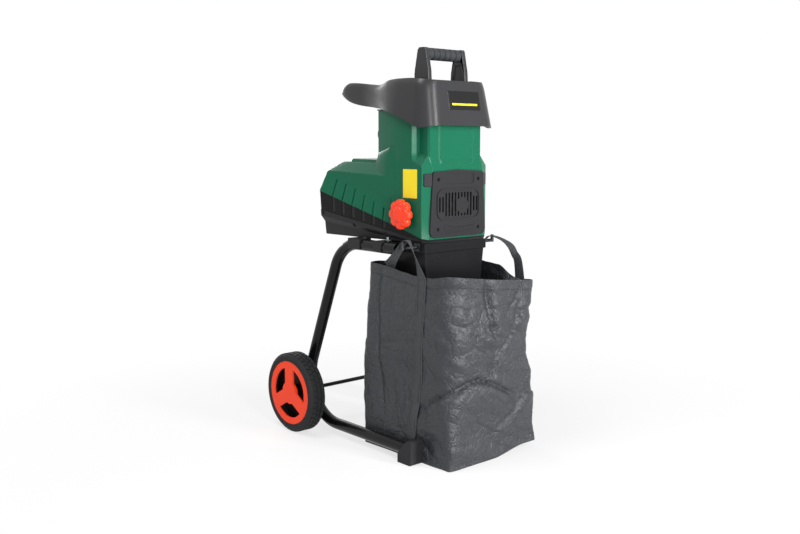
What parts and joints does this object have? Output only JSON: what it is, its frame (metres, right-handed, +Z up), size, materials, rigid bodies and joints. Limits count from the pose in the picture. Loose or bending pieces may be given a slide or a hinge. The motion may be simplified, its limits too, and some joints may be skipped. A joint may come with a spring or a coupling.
{
  "type": "garden shredder",
  "caption": "Wheeled electric garden shredder: green body with feed hopper and carry handle on a bent tube frame, toothed cutting roller with pressure-plate knob, and a hanging collecting bag.",
  "frame": {"origin": "on the floor, under the centre of the whole outline", "axes": "+Z up, -Y to the front with the grille and the bag, +X to the right of someone facing along +Y"},
  "size_m": [0.4426, 0.586, 0.94],
  "materials": {
    "tube_black": "gloss",
    "foot_black": "matte",
    "body_green": "satin",
    "body_black": "satin",
    "hopper_black": "fine grain",
    "rim_black": "satin",
    "tyre_rubber": "matte",
    "cover_red": "satin",
    "knob_red": "satin",
    "grip_rubber": "matte",
    "bright_steel": "bright",
    "dark_steel": "blackened",
    "tool_steel": "ground",
    "cast_alloy": "as cast",
    "motor_iron": "laminated",
    "winding_copper": "enamelled",
    "bush_bronze": "plain",
    "fan_plastic": "matte",
    "button_green": "gloss",
    "button_red": "gloss",
    "switch_black": "satin",
    "bag_cloth": "woven",
    "strap_web": "woven"
  },
  "bodies": {
    "machine": {"leg_left": "tube_black", "leg_right": "tube_black", "base_tube_left": "tube_black", "base_tube_right": "tube_black", "foot_left": "foot_black", "foot_right": "foot_black", "axle": "dark_steel", "axle_spacers": "dark_steel", "axle_clips": "bright_steel", "tube_saddles": "body_black", "saddle_bolts": "bright_steel", "base_pan": "body_black", "rear_hood": "body_green", "front_housing": "body_green", "front_grille": "body_black", "grille_screws": "bright_steel", "housing_screws": "dark_steel", "discharge_chute": "body_black", "hopper_shell": "hopper_black", "hopper_deck": "hopper_black", "carry_handle": "body_black", "handle_grip": "grip_rubber", "feed_funnel": "hopper_black", "cutting_chamber": "cast_alloy", "roller_bearings": "bright_steel", "gearbox_case": "cast_alloy", "gearbox_cover": "cast_alloy", "layshaft_bushes": "bush_bronze", "motor_shell": "motor_iron", "stator_core": "motor_iron", "stator_windings": "winding_copper", "motor_bearings": "bright_steel", "motor_end_shield": "cast_alloy", "run_capacitor": "cast_alloy", "control_panel": "body_black", "power_inlet": "body_black", "bag_hooks": "body_black", "collection_bag": "bag_cloth", "bag_strap_left": "strap_web", "bag_strap_right": "strap_web"},
    "left_wheel": {"wheel_rim_left": "rim_black", "tyre_left": "tyre_rubber", "wheel_cover_left": "cover_red"},
    "right_wheel": {"wheel_rim_right": "rim_black", "tyre_right": "tyre_rubber", "wheel_cover_right": "cover_red"},
    "rotor": {"motor_rotor": "motor_iron", "cooling_fan": "fan_plastic"},
    "layshaft": {"layshaft": "tool_steel"},
    "cutter": {"roller_shaft": "bright_steel", "cutting_roller": "tool_steel", "output_gear": "tool_steel"},
    "adjuster": {"adjusting_knob": "knob_red", "adjusting_spindle": "bright_steel"},
    "pressure_plate": {"pressure_plate": "tool_steel"},
    "on_button": {"on_button": "button_green"},
    "off_button": {"off_button": "button_red"},
    "reset_button": {"reset_button": "switch_black"},
    "direction_selector": {"direction_selector": "switch_black"}
  },
  "joints": [
    {"name": "left_wheel_spin", "type": "hinge", "parent": "machine", "child": "left_wheel", "pos_m": [0, 0.19303, 0.1], "axis": [1, 0, 0], "continuous": true},
    {"name": "right_wheel_spin", "type": "hinge", "parent": "machine", "child": "right_wheel", "pos_m": [0, 0.19303, 0.1], "axis": [1, 0, 0], "continuous": true},
    {"name": "rotor_spin", "type": "hinge", "parent": "machine", "child": "rotor", "pos_m": [-0.01308, 0, 0.59149], "axis": [0, 1, 0], "continuous": true},
    {"name": "layshaft_spin", "type": "hinge", "parent": "machine", "child": "layshaft", "pos_m": [-0.0536, 0, 0.60624], "axis": [0, 1, 0], "continuous": true},
    {"name": "cutter_spin", "type": "hinge", "parent": "machine", "child": "cutter", "pos_m": [0.013, 0, 0.582], "axis": [0, 1, 0], "continuous": true},
    {"name": "adjuster_turn", "type": "hinge", "parent": "machine", "child": "adjuster", "pos_m": [0, -0.11903, 0.563], "axis": [1, 0, 0], "range_deg": [0, 720]},
    {"name": "plate_slide", "type": "slide", "parent": "machine", "child": "pressure_plate", "axis": [1, 0, 0], "range_m": [0, 0.006]},
    {"name": "on_press", "type": "slide", "parent": "machine", "child": "on_button", "axis": [0, -1, 0], "range_m": [0, 0.004], "stiffness_N_per_m": 500},
    {"name": "off_press", "type": "slide", "parent": "machine", "child": "off_button", "axis": [0, -1, 0], "range_m": [0, 0.004], "stiffness_N_per_m": 500},
    {"name": "reset_press", "type": "slide", "parent": "machine", "child": "reset_button", "axis": [0, -1, 0], "range_m": [0, 0.003], "stiffness_N_per_m": 500},
    {"name": "selector_turn", "type": "hinge", "parent": "machine", "child": "direction_selector", "pos_m": [-0.057, 0, 0.745], "axis": [0, 1, 0], "range_deg": [-45, 45]}
  ],
  "couplings": [
    {"joint": "layshaft_spin", "follows": "rotor_spin", "ratio": -0.15},
    {"joint": "cutter_spin", "follows": "rotor_spin", "ratio": 0.01875},
    {"joint": "adjuster_turn", "follows": "plate_slide", "rad_per_m": 2094.4}
  ]
}
